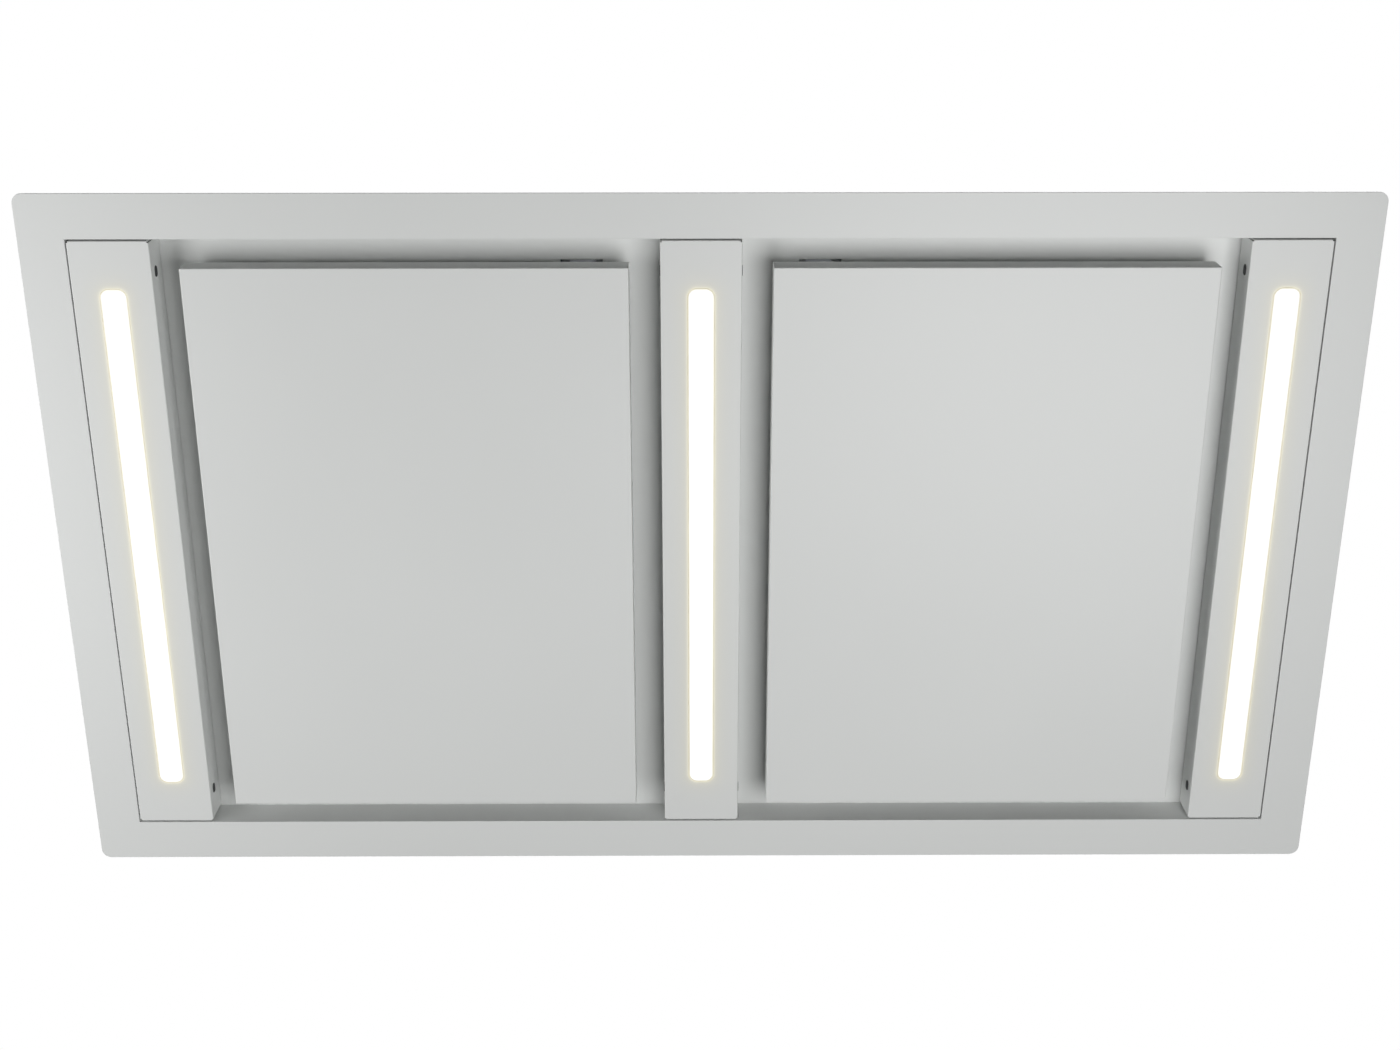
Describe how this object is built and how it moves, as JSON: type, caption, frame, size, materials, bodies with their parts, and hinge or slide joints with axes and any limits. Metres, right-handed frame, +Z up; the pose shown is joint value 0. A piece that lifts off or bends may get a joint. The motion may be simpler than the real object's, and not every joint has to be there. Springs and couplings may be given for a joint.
{
  "type": "ceiling range hood",
  "caption": "Flush ceiling extractor hood: white trim frame, lit strips between two hinged perimeter-suction panels, grease filters, blower housing and round outlet on top.",
  "frame": {"origin": "centre of the plane where the seal strip meets the ceiling's underside", "axes": "+Z up, +X along the long side to the right and +Y to the far long side for somebody who stands at the near side and looks up"},
  "size_m": [1.2, 0.668, 0.3245],
  "materials": {
    "aluminium": "mill-finish aluminium",
    "black_plastic": "fine-grained moulding",
    "board_green": "solder mask",
    "board_white": "white solder mask",
    "bright_steel": "ground steel",
    "dark_steel": "blackened steel",
    "filter_mesh": "expanded foil mesh",
    "galvanised": "galvanised sheet with fine spangle",
    "grey_plastic": "fine-grained moulding",
    "lead_sheath": "smooth sheath",
    "motor_black": "black e-coat",
    "opal": "opal, lit",
    "rubber": "moulded rubber",
    "seal_foam": "closed-cell foam strip",
    "spring_steel": "bare spring steel",
    "white_coat": "satin white powder coat",
    "zinc_steel": "bright zinc plating"
  },
  "bodies": {
    "hood": {"flange_frame": "white_coat", "deck_plate": "white_coat", "ceiling_seal": "seal_foam", "bar_brackets": "dark_steel", "bar_screws": "dark_steel", "hinge_hangers": "zinc_steel", "catch_clips": "spring_steel", "long_walls": "galvanised", "short_walls": "galvanised", "top_plate": "galvanised", "light_boards": "board_white", "inlet_rings": "galvanised", "rivets": "aluminium", "housing_screws": "zinc_steel", "hanging_brackets": "zinc_steel", "scroll_wrap": "galvanised", "scroll_left_side": "galvanised", "scroll_right_side": "galvanised", "motor_stator": "aluminium", "motor_bearings": "bright_steel", "motor_bracket": "zinc_steel", "motor_mounts": "rubber", "motor_screws": "zinc_steel", "duct_collar": "black_plastic", "flap_spindle": "bright_steel", "control_box": "galvanised", "control_box_end": "galvanised", "control_lid": "galvanised", "control_board": "board_green", "terminal_block": "grey_plastic", "cable_gland": "black_plastic", "light_driver": "grey_plastic", "light_leads": "lead_sheath", "left_light_bar": "white_coat", "left_diffuser": "opal", "left_light_profile": "aluminium", "centre_light_bar": "white_coat", "centre_diffuser": "opal", "centre_light_profile": "aluminium", "right_light_bar": "white_coat", "right_diffuser": "opal", "right_light_profile": "aluminium", "left_filter_frame": "aluminium", "left_filter_mesh": "filter_mesh", "right_filter_frame": "aluminium", "right_filter_mesh": "filter_mesh"},
    "left_panel": {"left_panel_shell": "white_coat", "left_panel_back": "zinc_steel", "left_hinge_pins": "bright_steel"},
    "right_panel": {"right_panel_shell": "white_coat", "right_panel_back": "zinc_steel", "right_hinge_pins": "bright_steel"},
    "left_latch": {"left_filter_latch": "black_plastic"},
    "right_latch": {"right_filter_latch": "black_plastic"},
    "rotor": {"impeller_disc": "galvanised", "impeller_rings": "galvanised", "impeller_blades": "galvanised", "motor_rotor": "motor_black"},
    "near_flap": {"near_flap": "aluminium"},
    "far_flap": {"far_flap": "aluminium"}
  },
  "joints": [
    {"name": "left_panel_hinge", "type": "hinge", "parent": "hood", "child": "left_panel", "pos_m": [-0.451, 0, 0.004], "axis": [0, 1, 0], "range_deg": [0, 90]},
    {"name": "right_panel_hinge", "type": "hinge", "parent": "hood", "child": "right_panel", "pos_m": [0.451, 0, 0.004], "axis": [0, -1, 0], "range_deg": [0, 90]},
    {"name": "left_latch_slide", "type": "slide", "parent": "hood", "child": "left_latch", "axis": [0, -1, 0], "range_m": [0, 0.007], "stiffness_N_per_m": 300, "springref_m": -0.004},
    {"name": "right_latch_slide", "type": "slide", "parent": "hood", "child": "right_latch", "axis": [0, -1, 0], "range_m": [0, 0.007], "stiffness_N_per_m": 300, "springref_m": -0.004},
    {"name": "rotor_spin", "type": "hinge", "parent": "hood", "child": "rotor", "pos_m": [0, -0.0605, 0.15], "axis": [1, 0, 0], "continuous": true},
    {"name": "near_flap_hinge", "type": "hinge", "parent": "hood", "child": "near_flap", "pos_m": [0, 0, 0.2931], "axis": [-1, 0, 0], "range_deg": [0, 80]},
    {"name": "far_flap_hinge", "type": "hinge", "parent": "hood", "child": "far_flap", "pos_m": [0, 0, 0.2931], "axis": [1, 0, 0], "range_deg": [0, 80]}
  ]
}
